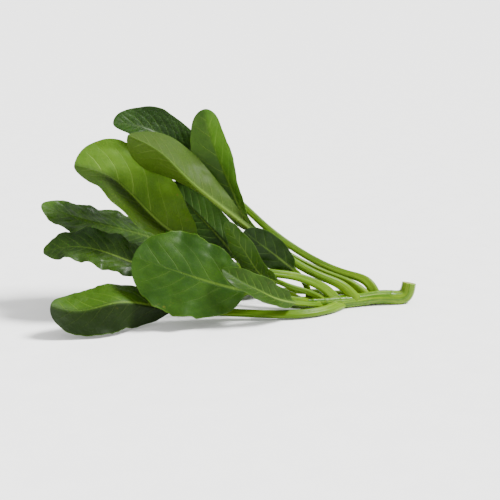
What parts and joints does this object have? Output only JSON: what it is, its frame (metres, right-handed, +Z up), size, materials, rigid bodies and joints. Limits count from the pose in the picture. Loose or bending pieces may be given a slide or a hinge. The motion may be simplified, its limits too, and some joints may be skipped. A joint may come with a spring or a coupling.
{
  "type": "bok choy",
  "caption": "Leafy green vegetable plant as picked, lying on its side: a thick pale green stalk with smooth oval leaves on long petioles that fan up and away from it.",
  "frame": {"origin": "bottom centre of the whole plant's bounding box, on the surface it lies on", "axes": "+X along the stalk towards its cut root end, +Z up, -Y towards the viewer of the picture"},
  "size_m": [0.3891, 0.1904, 0.205],
  "materials": {
    "stalk": "smooth moist plant stem, pale yellow-green, softly glossy",
    "leaf": "smooth living leaf, mid to dark green, satin above and duller below, with paler veins"
  },
  "bodies": {
    "root": {"stalk": "stalk", "leaf_back_top": "leaf", "leaf_top_right": "leaf", "leaf_curled_top": "leaf", "leaf_mid_right": "leaf", "leaf_big_left": "leaf", "leaf_front": "leaf", "leaf_lower_left": "leaf", "leaf_far_left": "leaf", "leaf_mid_left": "leaf", "leaf_small_front": "leaf", "leaf_inner": "leaf", "leaf_heart": "leaf", "leaf_back_low": "leaf"}
  },
  "joints": []
}
